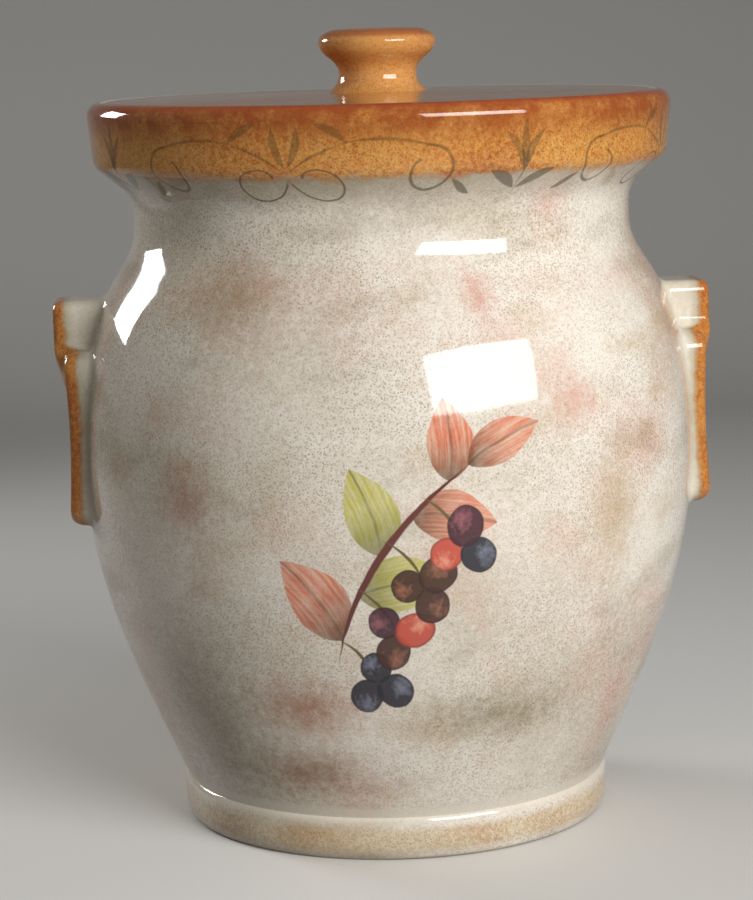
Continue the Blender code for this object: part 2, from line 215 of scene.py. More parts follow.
def filleted(corners):
    """Turn (x, y, fillet radius) corners into points, each fillet an arc that its edges have room for."""
    places = [Vector(corner[:2]) for corner in corners]
    count = len(corners)
    arms = []
    reaches = []
    for index, place in enumerate(places):
        before = (places[index - 1] - place).normalized()
        after = (places[(index + 1) % count] - place).normalized()
        half = before.angle(after) / 2
        arms.append((before, after, half))
        reaches.append(corners[index][2] / math.tan(half))
    for index in range(count):
        following = (index + 1) % count
        room = (places[following] - places[index]).length * ARC_ROOM
        wanted = reaches[index] + reaches[following]
        if wanted > room:
            reaches[index] *= room / wanted
            reaches[following] *= room / wanted
    points = []
    for place, (before, after, half), reach in zip(places, arms, reaches):
        if reach <= MERGE:
            points.append(tuple(place))
            continue
        centre = place + (before + after).normalized() * (reach / math.cos(half))
        spoke = place + before * reach - centre
        swing = math.pi - 2 * half
        if before.cross(after) > 0:
            swing = -swing
        steps = max(2, round(abs(swing) / ARC_STEP))
        for step in range(steps + 1):
            swung = spoke.copy()
            swung.rotate(Matrix.Rotation(swing * step / steps, 2))
            points.append(tuple(centre + swung))
    return points


def lower_body(inset, steps, start_height):
    """The body from its foot up to the belly, a quarter wave, set in by the clay's thickness."""
    points = []
    for step in range(steps + 1):
        height = start_height + (BELLY_HEIGHT - start_height) * step / steps
        swell = math.sin(math.pi / 2 * (height - FOOT_HEIGHT) / (BELLY_HEIGHT - FOOT_HEIGHT))
        points.append((GROOVE_RADIUS + (BELLY_RADIUS - GROOVE_RADIUS) * swell - inset, height))
    return points


def upper_body(inset, steps):
    """The shoulder from the belly up to the neck, upright at both ends."""
    belly = (BELLY_RADIUS - inset, BELLY_HEIGHT)
    neck = (NECK_RADIUS - inset, NECK_HEIGHT)
    shoulder = (belly[0], BELLY_HEIGHT + SHOULDER_PULL)
    return bezier(belly, shoulder, (neck[0], NECK_HEIGHT - NECK_PULL), neck, steps)


def flare_height(radius):
    """Height of the flare under the collar, on its outer face, at a radius."""
    return AMBER_EDGE - (COLLAR_RADIUS - COLLAR_TAPER - radius) * FLARE_SLOPE


def jar_outline():
    """Half section of the jar, from the axis under the base, round the outside, to the axis inside."""
    bead = (FOOT_RADIUS, FOOT_BEAD_HEIGHT)
    groove = (GROOVE_RADIUS, FOOT_HEIGHT)
    bead_pull = FOOT_BEAD_HEIGHT * BEAD_ROUNDNESS
    lower_pulls = ((FOOT_RADIUS - EDGE_ROUNDING, 0.0), (FOOT_RADIUS, bead_pull))
    upper_pulls = ((FOOT_RADIUS, FOOT_HEIGHT - bead_pull), (FOOT_RADIUS, FOOT_HEIGHT - EDGE_ROUNDING))
    points = [(0.0, FOOT_RECESS), (FOOT_FLAT_INNER - FOOT_RECESS, FOOT_RECESS)]
    points += [(FOOT_FLAT_INNER, 0.0), (FOOT_FLAT_OUTER, 0.0)]
    points += bezier(points[-1], *lower_pulls, bead, BEAD_STEPS)
    points += bezier(bead, *upper_pulls, groove, BEAD_STEPS)
    points += lower_body(0.0, BODY_STEPS, FOOT_HEIGHT)[1:]
    points += upper_body(0.0, SHOULDER_STEPS)
    collar_foot = COLLAR_RADIUS - COLLAR_TAPER
    gallery = COLLAR_RADIUS - RIM_WIDTH
    ledge = JAR_HEIGHT - LID_THICKNESS - SEAT_GAP
    inner_neck = NECK_RADIUS - WALL
    inner_lift = WALL * math.hypot(1.0, FLARE_SLOPE)
    mouth = [
        (NECK_RADIUS, NECK_HEIGHT, 0.0),
        (NECK_RADIUS, flare_height(NECK_RADIUS), FLARE_FILLET),
        (collar_foot, flare_height(collar_foot), COLLAR_LOWER_FILLET),
        (COLLAR_RADIUS, JAR_HEIGHT, COLLAR_TOP_FILLET),
        (gallery, JAR_HEIGHT, EDGE_ROUNDING),
        (gallery, ledge, EDGE_ROUNDING),
        (MOUTH_RADIUS, ledge, EDGE_ROUNDING),
        (MOUTH_RADIUS, flare_height(MOUTH_RADIUS) + inner_lift, COLLAR_LOWER_FILLET),
        (inner_neck, flare_height(inner_neck) + inner_lift, FLARE_FILLET),
        (inner_neck, NECK_HEIGHT, 0.0),
    ]
    points += filleted(mouth)[1:]
    points += reversed(upper_body(WALL, LINING_STEPS)[:-1])
    inside = lower_body(WALL, LINING_STEPS, BASE_THICKNESS + FLOOR_FILLET)
    points += reversed(inside[1:])
    floor_corner = lower_body(WALL, 1, BASE_THICKNESS)[0]
    floor = [(*inside[1], 0.0), (*floor_corner, FLOOR_FILLET), (0.0, BASE_THICKNESS, 0.0)]
    points += filleted(floor)[1:]
    return points


def lid_outline():
    """Half section of the lid, from the axis below, round the flange and the rim, to the axis on top."""
    underside = JAR_HEIGHT - LID_THICKNESS
    inner = FLANGE_RADIUS - FLANGE_WALL
    groove_radius = FLANGE_RADIUS - SEAL_GROOVE_DEPTH
    groove_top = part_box("lid_seal_ring")[1].z + SEAT_GAP
    groove_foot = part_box("lid_seal_ring")[0].z - SEAT_GAP
    corners = [
        (0.0, underside, 0.0),
        (inner, underside, FLANGE_ROUNDING),
        (inner, LID_FOOT, FLANGE_ROUNDING),
        (FLANGE_RADIUS, LID_FOOT, FLANGE_ROUNDING),
        (FLANGE_RADIUS, groove_foot, SEAL_ROUNDING),
        (groove_radius, groove_foot, SEAL_ROUNDING),
        (groove_radius, groove_top, SEAL_ROUNDING),
        (FLANGE_RADIUS, groove_top, SEAL_ROUNDING),
        (FLANGE_RADIUS, underside, 0.0),
        (LID_RADIUS, underside, EDGE_ROUNDING),
        (LID_RADIUS, JAR_HEIGHT, EDGE_ROUNDING),
        (LID_RADIUS - RIM_WIDTH, JAR_HEIGHT, 0.0),
    ]
    points = filleted(corners)
    dome_radius = LID_RADIUS - RIM_WIDTH
    for step in range(1, DOME_STEPS + 1):
        share = 1 - step / DOME_STEPS
        points.append((dome_radius * share, JAR_HEIGHT + LID_DOME * (1 - share ** 2)))
    return points


def seal_outline():
    """Closed section of the sealing ring, with two lips that point up and out."""
    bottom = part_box("lid_seal_ring")[0].z
    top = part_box("lid_seal_ring")[1].z
    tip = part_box("lid_seal_ring")[1].x
    inner = FLANGE_RADIUS - SEAL_GROOVE_DEPTH + SEAT_GAP
    body = inner + SEAL_BODY
    corners = [(inner, bottom, SEAL_ROUNDING), (body, bottom, SEAL_ROUNDING)]
    for root in (bottom, top - SEAL_LIP_THICKNESS):
        corners += [
            (tip, root + SEAL_LIP_RISE, SEAL_ROUNDING),
            (tip, root + SEAL_LIP_RISE + SEAL_LIP_THICKNESS / 2, SEAL_ROUNDING),
            (body, root + SEAL_LIP_THICKNESS, 0.0),
        ]
        if root == bottom:
            corners.append((body, top - SEAL_LIP_THICKNESS, 0.0))
    corners.append((inner, top, SEAL_ROUNDING))
    return filleted(corners)


def knob_outline():
    """Half section of the knob, whose foot spreads out thinly over the lid where it was luted on."""
    seat = KNOB_SEAT
    foot = (KNOB_WAIST_RADIUS + KNOB_FOOT_FLARE, seat - 2 * SEAT_GAP)
    waist = (KNOB_WAIST_RADIUS, seat + KNOB_WAIST_HEIGHT)
    widest = (KNOB_RADIUS, seat + KNOB_RADIUS_HEIGHT)
    crown = (KNOB_CROWN_RADIUS, seat + KNOB_HEIGHT - KNOB_CROWN_DROP)
    swell = KNOB_RADIUS_HEIGHT - KNOB_WAIST_HEIGHT
    roll = KNOB_HEIGHT - KNOB_RADIUS_HEIGHT
    points = [(0.0, seat - 2 * SEAT_GAP), foot]
    points += bezier(foot, (KNOB_WAIST_RADIUS + KNOB_FOOT_FLARE / 3, seat + 2 * EDGE_ROUNDING),
                     (KNOB_WAIST_RADIUS, seat + KNOB_WAIST_HEIGHT / 2), waist, steps=14)
    points += bezier(waist, (KNOB_WAIST_RADIUS, waist[1] + swell / 2),
                     (KNOB_RADIUS, widest[1] - swell / 2), widest, steps=18)
    points += bezier(widest, (KNOB_RADIUS, widest[1] + roll / 2),
                     ((KNOB_RADIUS + KNOB_CROWN_RADIUS) / 2, crown[1]), crown, steps=14)
    points += bezier(crown, (KNOB_CROWN_RADIUS * 2 / 3, seat + KNOB_HEIGHT),
                     (KNOB_CROWN_RADIUS / 3, seat + KNOB_HEIGHT), (0.0, seat + KNOB_HEIGHT), steps=8)
    return points


# Meshes

def new_piece(name, data, body, node):
    """Put a bmesh into the scene as a piece that rides on a body and stands for a solid."""
    mesh = bpy.data.meshes.new(name)
    data.to_mesh(mesh)
    data.free()
    mesh.shade_smooth()
    mesh.set_sharp_from_angle(angle=SHARP_EDGE)
    piece = bpy.data.objects.new(name, mesh)
    bpy.context.scene.collection.objects.link(piece)
    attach(piece, body)
    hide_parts(node)
    return piece


def turned(outline, steps):
    """Spin a half section round Z into a closed bmesh."""
    data = bmesh.new()
    verts = [data.verts.new((radius, 0.0, height)) for radius, height in outline]
    edges = [data.edges.new(pair) for pair in zip(verts, verts[1:])]
    if outline[0][0] > MERGE or outline[-1][0] > MERGE:
        edges.append(data.edges.new((verts[-1], verts[0])))
    bmesh.ops.spin(data, geom=verts + edges, cent=(0, 0, 0), axis=(0, 0, 1), angle=TURN,
                   steps=steps, use_merge=True, use_duplicate=False)
    bmesh.ops.remove_doubles(data, verts=data.verts, dist=MERGE)
    bmesh.ops.recalc_face_normals(data, faces=data.faces)
    return data


def wall_radius(height):
    """The jar's outer radius at a height on its body."""
    line = lower_body(0.0, LINING_STEPS, FOOT_HEIGHT) + upper_body(0.0, LINING_STEPS)
    for (low_radius, low), (high_radius, high) in zip(line, line[1:]):
        if height <= high:
            return low_radius + (high_radius - low_radius) * (height - low) / (high - low)
    return NECK_RADIUS


def clamped(value, low=0.0):
    """The value, held between low and 1."""
    return max(low, min(1.0, value))


def rounding(share):
    """How far a quarter round has dropped, from 0 where it starts to 1 where it ends."""
    return 1 - math.sqrt(1 - share ** 2)


def lug_reach(side, height):
    """How far the lug's face stands out at a place: a dished strap, rolled at both ends, and the crown."""
    middle = (STRAP_TOP + LUG_BOTTOM) / 2
    share = clamped((height - middle) / (STRAP_TOP - middle), low=-1.0)
    toe = clamped((LUG_BOTTOM + TOE_ROLL - height) / TOE_ROLL)
    shoulder = clamped((height - STRAP_TOP + SHOULDER_ROLL) / SHOULDER_ROLL)
    strap = STRAP_REACH - STRAP_DISH * math.cos(math.pi / 2 * share)
    strap -= TOE_SET_IN * rounding(toe) + SHOULDER_SET_IN * rounding(shoulder)
    sweep = clamped((STRAP_TOP + CROWN_LIP - height) / CROWN_SWEEP)
    flank = clamped((abs(side) - CROWN_HALF_WIDTH) / CROWN_FLANK)
    swell = (math.cos(math.pi / 2 * sweep) * math.cos(math.pi / 2 * flank)) ** 2
    return strap + (CROWN_REACH - strap) * swell


def lug_outline():
    """The lug's outline in (y, z): two legs either side of the recess, shoulders, and the narrower crown."""
    half = [
        (RECESS_HALF_WIDTH, RECESS_TOP, RECESS_HALF_WIDTH * RECESS_ROUNDNESS),
        (RECESS_HALF_WIDTH, LUG_BOTTOM, STRAP_TOE / 2),
        (LUG_HALF_WIDTH, LUG_BOTTOM, STRAP_TOE),
        (LUG_HALF_WIDTH, STRAP_TOP, STRAP_SHOULDER),
        (CROWN_HALF_WIDTH, STRAP_TOP, CROWN_FLANK),
        (CROWN_HALF_WIDTH, LUG_TOP, CROWN_CORNER),
    ]
    return filleted(half + [(-y, z, radius) for y, z, radius in reversed(half)])


def rim_drop(place, outline):
    """How far a point of the lug's face lies back, for being near the rounded rim."""
    nearest = LUG_EDGE
    for start, end in zip(outline, outline[1:] + outline[:1]):
        foot, share = intersect_point_line(place, start, end)
        if share < 0:
            foot = Vector(start)
        elif share > 1:
            foot = Vector(end)
        nearest = min(nearest, (place - foot.to_2d()).length)
    return LUG_EDGE * rounding(1 - nearest / LUG_EDGE)


def lug_face(data, outline):
    """The lug's outer face: rings that follow its rounded rim, cut across so that it can bend."""
    front = [data.faces.new([data.verts.new((STRAP_REACH, y, z)) for y, z in outline])]
    data.normal_update()
    depth = 0.0
    for ring in range(1, RIM_RINGS + 1):
        wanted = LUG_EDGE * (1 - math.cos(math.pi / 2 * ring / RIM_RINGS))
        bmesh.ops.inset_region(data, faces=front, thickness=wanted - depth, use_boundary=True,
                               use_even_offset=True)
        depth = wanted
    tall = LUG_TOP - LUG_BOTTOM
    levels = round(tall / FACE_CUT)
    columns = round(LUG_HALF_WIDTH / FACE_CUT)
    cuts = [((0, 0, LUG_BOTTOM + tall * step / levels), (0, 0, 1)) for step in range(1, levels)]
    cuts += [((0, LUG_HALF_WIDTH * step / columns, 0), (0, 1, 0)) for step in range(1 - columns, columns)]
    for place, normal in cuts:
        geometry = data.verts[:] + data.edges[:] + data.faces[:]
        bmesh.ops.bisect_plane(data, geom=geometry, dist=MERGE, plane_co=place, plane_no=normal)
    for vert in data.verts:
        vert.co.x = lug_reach(vert.co.y, vert.co.z) - rim_drop(vert.co.yz, outline)


def outward_of(vert):
    """The direction in the Y-Z plane that leads out of the lug's outline at a vertex of its boundary."""
    edges = [edge for edge in vert.link_edges if edge.is_boundary]
    ends = [edge.other_vert(vert).co for edge in edges]
    along = (ends[1] - ends[0]).yz.normalized()
    out = Vector((along.y, -along.x))
    inner = sum((face.calc_center_median() for face in vert.link_faces), Vector()) / len(vert.link_faces)
    if out.dot((vert.co - inner).yz) < 0:
        out = -out
    return out


def lug_sides(data):
    """The lug's sides, from its rim to a fillet that runs out on the jar's wall, closed inside the clay."""
    edges = [edge for edge in data.edges if edge.is_boundary]
    ring = {}
    for vert in {vert for edge in edges for vert in edge.verts}:
        room = vert.co.x - math.sqrt(wall_radius(vert.co.z) ** 2 - vert.co.y ** 2)
        ring[vert] = (vert.co.yz, outward_of(vert), min(JOIN_FILLET, room * JOIN_ROOM))
    swings = [math.pi / 2 * step / JOIN_RINGS for step in range(JOIN_RINGS + 1)]
    rings = [(1 - math.cos(swing), 1 - math.sin(swing), 0.0) for swing in swings]
    rings.append((1.0, 0.0, JOIN_BURIED))
    for spread, height, buried in rings:
        made = bmesh.ops.extrude_edge_only(data, edges=edges)["geom"]
        edges = [item for item in made if isinstance(item, bmesh.types.BMEdge) and item.is_boundary]
        following = {}
        for vert in [item for item in made if isinstance(item, bmesh.types.BMVert)]:
            old = next(edge.other_vert(vert) for edge in vert.link_edges if edge.other_vert(vert) in ring)
            place, out, fillet = following[vert] = ring[old]
            y, z = place + out * fillet * spread
            vert.co = (math.sqrt(wall_radius(z) ** 2 - y ** 2) + fillet * height - buried, y, z)
        ring = following
    bmesh.ops.holes_fill(data, edges=edges)


def lug(name, side, lean):
    """One lug handle. Its points keep how far they lie behind the face, which the amber edge follows."""
    data = bmesh.new()
    outline = lug_outline()
    lug_face(data, outline)
    for vert in data.verts:
        outward = vert.co.x / CROWN_REACH
        upward = clamped((vert.co.z - STRAP_TOP - CROWN_LIP) / (LUG_TOP - STRAP_TOP - CROWN_LIP))
        vert.co.z -= CROWN_DROOP * outward * upward
    bmesh.ops.rotate(data, verts=data.verts, cent=(STRAP_REACH, 0, LUG_BOTTOM),
                     matrix=Matrix.Rotation(-lean, 3, "Y"))
    lug_sides(data)
    bmesh.ops.recalc_face_normals(data, faces=data.faces)
    behind = data.verts.layers.float.new("behind_face")
    for vert in data.verts:
        leaned = (vert.co.z - LUG_BOTTOM) * math.tan(lean)
        vert[behind] = lug_reach(vert.co.y, vert.co.z) - leaned - vert.co.x
    bmesh.ops.rotate(data, verts=data.verts, cent=(0, 0, 0), matrix=Matrix.Rotation(side, 3, "Z"))
    return new_piece(name, data, "jar", name.replace("_glazed", ""))


# Nodes

def linear(hex_colour):
    """An sRGB hex colour as linear RGBA."""
    channels = [int(hex_colour[place:place + 2], 16) / 255 for place in (1, 3, 5)]
    return (*(c / 12.92 if c <= 0.04045 else ((c + 0.055) / 1.055) ** 2.4 for c in channels), 1.0)


def add(tree, kind, *values, named=None, **settings):
    """Add a shader node: settings are its properties, and values go to its inputs in turn or by name.

    Only the sockets that the settings leave switched on are counted. A value that is a node is
    linked from its first output, and a socket is linked as it is.
    """
    item = tree.nodes.new("ShaderNode" + kind)
    for setting, value in settings.items():
        setattr(item, setting, value)
    enabled = [socket for socket in item.inputs if socket.enabled]
    pairs = list(zip(enabled, values)) + [(item.inputs[key], value) for key, value in (named or {}).items()]
    for socket, value in pairs:
        if isinstance(value, bpy.types.Node):
            value = next(output for output in value.outputs if output.enabled)
        if isinstance(value, bpy.types.NodeSocket):
            tree.links.new(value, socket)
        elif value is not None:
            socket.default_value = value
    return item


def new_material(name):
    """A material with an empty node tree, and the place that its patterns read."""
    material = bpy.data.materials.new(name)
    material.use_nodes = True
    tree = material.node_tree
    tree.nodes.clear()
    return material, tree, add(tree, "TexCoord").outputs["Object"]


# Sponging, spatter and glaze. A noise's patches are about 0.5 / scale across, so its scale is 0.5 / size.

def sponged(tree, point, under, colour, patch, dab, evenness, cut, strength, seed, flatness=1.0):
    """Colour sponged on in patches about patch across, made of dabs about dab across.

    Evenness is how far the dabs, rather than the patches, decide where it lands; cut is how much of the
    surface it misses; flatness above 1 draws the patches out sideways.
    """
    spread = add(tree, "Mapping", point, None, None, (1.0, 1.0, flatness))
    patches = add(tree, "TexNoise", noise_dimensions="4D",
                  named={"Vector": spread, "W": seed, "Scale": 0.5 / patch, "Roughness": 0.55})
    dabs = add(tree, "TexNoise", noise_dimensions="4D",
               named={"Vector": point, "W": seed, "Scale": 0.5 / dab, "Roughness": 0.7})
    wet = add(tree, "Mix", evenness, patches, dabs, data_type="FLOAT")
    share = add(tree, "MapRange", wet, cut, cut + SPONGE_EDGE, 0.0, strength)
    return add(tree, "Mix", share, under, linear(colour), data_type="RGBA")


def specked(tree, point, under, colour, spacing, size, cut, strength, seed):
    """Fine specks spattered off a brush: soft dots about spacing apart and up to size across.

    They come in clouds, and cut is how much of the surface the clouds miss.
    """
    moved = add(tree, "Mapping", point, (seed, seed, seed))
    cells = add(tree, "TexVoronoi", named={"Vector": moved, "Scale": 1.0 / spacing})
    core = 0.25 * size / spacing
    rim = 0.55 * size / spacing
    dots = add(tree, "MapRange", cells.outputs["Distance"], core, rim, strength, 0.0)
    clouds = add(tree, "TexNoise", named={"Vector": moved, "Scale": 0.5 / CLOUD_SPAN})
    dense = add(tree, "MapRange", clouds, cut - CLOUD_EDGE, cut + CLOUD_EDGE, 0.25, 1.0)
    varied = add(tree, "Math", dense, cells.outputs["Color"], operation="MULTIPLY")
    lifted = add(tree, "Math", varied, 0.35, operation="ADD")
    share = add(tree, "Math", dots, lifted, operation="MULTIPLY")
    return add(tree, "Mix", share, under, linear(colour), data_type="RGBA")


def smear(tree, point, under, colour, place, half_width, half_height, strength):
    """One sponged smear on the wall, at an arc and a height, that fades out all round."""
    wall = unrolled(tree, point, BELLY_RADIUS)
    own = add(tree, "Mapping", wall, (*place, 0.0), (0.0, 0.0, 0.0), (half_width, half_height, 1.0),
              vector_type="TEXTURE")
    reach = add(tree, "VectorMath", own, operation="LENGTH")
    dabs = add(tree, "TexNoise",
               named={"Vector": point, "Scale": 0.5 / (2.2 * MM), "Detail": 4.0, "Roughness": 0.75})
    broken = add(tree, "Math", dabs, -1.6, reach, operation="MULTIPLY_ADD")
    share = add(tree, "MapRange", broken, -1.1, 0.3, strength, 0.0, interpolation_type="SMOOTHSTEP")
    return add(tree, "Mix", share, under, linear(colour), data_type="RGBA")


def band(tree, height, middle, half, fade, strength):
    """A share that is the strength within half of a middle height, and falls to 0 over the fade."""
    away = add(tree, "Math", height, middle, operation="SUBTRACT")
    away = add(tree, "Math", away, operation="ABSOLUTE")
    return add(tree, "MapRange", away, half, half + fade, strength, 0.0, interpolation_type="SMOOTHSTEP")


def dabbed(tree, point, strength):
    """An uneven share, about the strength in most places, for a wash that was dabbed on."""
    noise = add(tree, "TexNoise",
                named={"Vector": point, "Scale": 0.5 / (4 * MM), "Detail": 4.0, "Roughness": 0.7})
    return add(tree, "MapRange", noise, 0.34, 0.58, 0.42 * strength, strength)


def glaze(tree, point, colour, unevenness=1.5 * MM, relief=None):
    """Clear gloss glaze over the colours: sharp highlights that bend on the uneven wall and dipped coat.

    Relief is a finer pattern that stands up through the coat.
    """
    wall = add(tree, "TexNoise", named={"Vector": point, "Scale": 0.5 / (42 * MM), "Detail": 0.0})
    swell = add(tree, "TexNoise", named={"Vector": point, "Scale": 0.5 / (15 * MM), "Detail": 1.0})
    height = add(tree, "Math", swell, 0.09, wall, operation="MULTIPLY_ADD")
    if relief:
        height = add(tree, "Math", relief, 0.10, height, operation="MULTIPLY_ADD")
    bump = add(tree, "Bump", named={"Strength": 1.0, "Distance": unevenness, "Height": height})
    mottle = add(tree, "TexNoise", named={"Vector": point, "Scale": 0.5 / (6 * MM)})
    roughness = add(tree, "MapRange", mottle, 0.3, 0.7, 0.045, 0.085)
    shader = add(tree, "BsdfPrincipled",
                 named={"Base Color": colour, "Roughness": roughness, "IOR": 1.52, "Normal": bump})
    add(tree, "OutputMaterial", shader)


# Grounds

def cream_ground(tree, point):
    """Cream slip, sponged with pink, ochre and olive-brown in soft patches, and with umber specks all over.

    The specks are 0.3 to 0.8 mm on the real jar, and are drawn at 0.8 mm so that they show.
    """
    colour = sponged(tree, point, linear("#eee5d7"), "#cfc2ac", patch=30 * MM, dab=1.2 * MM, evenness=0.35,
                     cut=0.44, strength=0.75, seed=1.0)
    colour = sponged(tree, point, colour, "#d3967e", patch=19 * MM, dab=0.9 * MM, evenness=0.28,
                     cut=0.50, strength=0.55, seed=2.0)
    colour = sponged(tree, point, colour, "#b9955f", patch=17 * MM, dab=1.0 * MM, evenness=0.22,
                     cut=0.54, strength=0.55, seed=3.0, flatness=1.6)
    colour = sponged(tree, point, colour, "#85754d", patch=26 * MM, dab=1.0 * MM, evenness=0.22,
                     cut=0.55, strength=0.5, seed=4.0, flatness=2.4)
    colour = specked(tree, point, colour, "#776447", spacing=0.8 * MM, size=0.72 * MM, cut=0.47, strength=0.50,
                     seed=5.0)
    colour = specked(tree, point, colour, "#7c6444", spacing=1.4 * MM, size=0.9 * MM, cut=0.54, strength=0.40,
                     seed=6.0)
    return sponged(tree, point, colour, "#efe8da", patch=20 * MM, dab=0.8 * MM, evenness=0.7,
                   cut=0.54, strength=0.3, seed=7.0)


def amber_ground(tree, point, browning):
    """Amber stain over ochre, with rust and brown patches, and specks about 0.8 mm across."""
    colour = sponged(tree, point, linear("#d5974b"), "#b8632a", patch=16 * MM, dab=0.9 * MM, evenness=0.6,
                     cut=0.45, strength=0.85, seed=11.0)
    colour = sponged(tree, point, colour, "#7d3c18", patch=20 * MM, dab=0.9 * MM, evenness=0.5,
                     cut=0.54 - browning, strength=0.8, seed=12.0)
    colour = specked(tree, point, colour, "#6a3214", spacing=0.8 * MM, size=0.75 * MM, cut=0.46, strength=0.55,
                     seed=14.0)
    return sponged(tree, point, colour, "#e6c07e", patch=12 * MM, dab=0.8 * MM, evenness=0.75,
                   cut=0.51, strength=0.45, seed=13.0)


def foot_ground(tree, point):
    """The foot's ground: ochre and orange-tan specks on cream."""
    colour = sponged(tree, point, linear("#dccbab"), "#b98e5a", patch=16 * MM, dab=1.0 * MM, evenness=0.45,
                     cut=0.44, strength=0.8, seed=41.0)
    return specked(tree, point, colour, "#8a5c30", spacing=0.8 * MM, size=0.75 * MM, cut=0.46, strength=0.6,
                   seed=42.0)


def collar_and_foot(tree, point, cream):
    """The jar's amber collar, with painted shade on the cream just under it, and its foot: an ochre bead
    between pale edges.
    """
    height = add(tree, "SeparateXYZ", point).outputs[2]
    groove = band(tree, height, 16.5 * MM, 1.5 * MM, 3 * MM, 0.7)
    colour = add(tree, "Mix", groove, cream, linear("#e6dccb"), data_type="RGBA")
    bead = band(tree, height, 7.4 * MM, 2.4 * MM, 3.6 * MM, 0.85)
    colour = add(tree, "Mix", bead, colour, foot_ground(tree, point), data_type="RGBA")

    rising = add(tree, "MapRange", height, JAR_HEIGHT - 17 * MM, JAR_HEIGHT - 4 * MM, 0.0, 0.9,
                 interpolation_type="SMOOTHSTEP")
    rust = add(tree, "Math", rising, dabbed(tree, point, 1.0), operation="MULTIPLY")
    amber = amber_ground(tree, point, browning=0.0)
    amber = add(tree, "Mix", rust, amber, linear("#96451a"), data_type="RGBA")
    rim = add(tree, "MapRange", height, JAR_HEIGHT - 2.2 * MM, JAR_HEIGHT - 0.9 * MM, 0.0, 0.6)
    amber = add(tree, "Mix", rim, amber, linear("#b2481d"), data_type="RGBA")

    ragged = add(tree, "TexNoise",
                 named={"Vector": point, "Scale": 0.5 / (5 * MM), "Detail": 4.0, "Roughness": 0.65})
    lifted = add(tree, "Math", ragged, 7 * MM, height, operation="MULTIPLY_ADD")
    # Painted shade: a grey-olive band on the cream just under the collar, where the collar would shadow the
    # wall
    shade = add(tree, "MapRange", lifted, AMBER_EDGE - 5.0 * MM, AMBER_EDGE + 1.0 * MM, 0.0, 0.4)
    colour = add(tree, "Mix", shade, colour, linear("#8f8460"), data_type="RGBA")
    share = add(tree, "MapRange", lifted, AMBER_EDGE + 0.6 * MM, AMBER_EDGE + 3.0 * MM)
    return add(tree, "Mix", share, colour, amber, data_type="RGBA")


# Brushwork: what is drawn on the wall, laid flat

def unrolled(tree, point, radius, front=0.0):
    """The wall laid flat: arc along x, from a direction that is 0 at the front, and height along y."""
    parts = add(tree, "SeparateXYZ", point)
    forward = add(tree, "Math", parts.outputs[1], -1.0, operation="MULTIPLY")
    angle = add(tree, "Math", parts.outputs[0], forward, operation="ARCTAN2")
    turned_by = add(tree, "Math", angle, front, operation="SUBTRACT")
    arc = add(tree, "Math", turned_by, radius, operation="MULTIPLY")
    return add(tree, "CombineXYZ", arc, parts.outputs[2])


def hand_drawn(tree, flat, shake, span):
    """The flat wall shaken a little, so that what is drawn on it has a brush's uneven edges."""
    noise = add(tree, "TexNoise", named={"Vector": flat, "Scale": 0.5 / span})
    offset = add(tree, "VectorMath", noise.outputs["Color"], (0.5, 0.5, 0.5), operation="SUBTRACT")
    return add(tree, "VectorMath", offset, (shake, shake, 0.0), flat, operation="MULTIPLY_ADD")


def stroke(tree, flat, place, turn, length, width, bend=0.0, fullest=1.0, softness=0.45 * MM):
    """One brush stroke from a place: its share, how far along it a point is, and how far across.

    It tapers to both ends, is bent sideways by bend times its length, and is fullest nearer its start
    where fullest is below 1.
    """
    own = add(tree, "Mapping", flat, (*place, 0.0), (0.0, 0.0, turn), (length, length, 1.0),
              vector_type="TEXTURE")
    parts = add(tree, "SeparateXYZ", own)
    along = parts.outputs[0]
    if fullest != 1.0:
        along = add(tree, "Math", along, fullest, operation="POWER")
    left = add(tree, "Math", 1.0, along, operation="SUBTRACT")
    belly = add(tree, "Math", along, left, operation="MULTIPLY")
    across = add(tree, "Math", belly, -4 * bend, parts.outputs[1], operation="MULTIPLY_ADD")
    aside = add(tree, "Math", across, operation="ABSOLUTE")
    room = add(tree, "Math", belly, 2 * width / length, operation="MULTIPLY")
    inside = add(tree, "Math", room, aside, operation="SUBTRACT")
    share = add(tree, "MapRange", inside, 0.0, softness / length)
    return share, along, across, aside


def leaf(tree, flat, under, place, turn, length, width, bend, colour, root):
    """An almond leaf in one colour, darker at its root, with brush streaks, a midrib and side veins."""
    share, along, across, aside = stroke(tree, flat, place, turn, length, width, bend, fullest=0.8)
    drawn_out = add(tree, "Math", along, 2.0, operation="MULTIPLY")
    narrowed = add(tree, "Math", across, 34.0, operation="MULTIPLY")
    bristles = add(tree, "CombineXYZ", drawn_out, narrowed, turn)
    streak = add(tree, "TexNoise", named={"Vector": bristles, "Scale": 1.0, "Detail": 3.0})
    thin = add(tree, "MapRange", streak, 0.42, 0.68, 0.0, 0.5)
    streaked = add(tree, "Mix", thin, linear(colour), linear("#efe0c0"), data_type="RGBA")
    near_root = add(tree, "MapRange", along, 0.10, 0.62, 0.85, 0.0)
    rooted = add(tree, "Mix", near_root, streaked, linear(root), data_type="RGBA")
    slant = add(tree, "Math", aside, -1.1, along, operation="MULTIPLY_ADD")
    phase = add(tree, "Math", slant, 44.0, operation="MULTIPLY")
    wave = add(tree, "Math", phase, operation="SINE")
    veins = add(tree, "MapRange", wave, 0.90, 1.0, 0.0, 0.16)
    midrib = add(tree, "MapRange", aside, 0.010, 0.022, 0.55, 0.0)
    lines = add(tree, "Math", veins, midrib, operation="MAXIMUM")
    lined = add(tree, "Mix", lines, rooted, linear(root), data_type="RGBA")
    wash = add(tree, "TexNoise", named={"Vector": flat, "Scale": 0.5 / (4 * MM), "Detail": 3.0})
    thick = add(tree, "MapRange", wash, 0.3, 0.6, 0.72, 0.97)
    laid = add(tree, "Math", share, thick, operation="MULTIPLY")
    return add(tree, "Mix", laid, under, lined, data_type="RGBA")


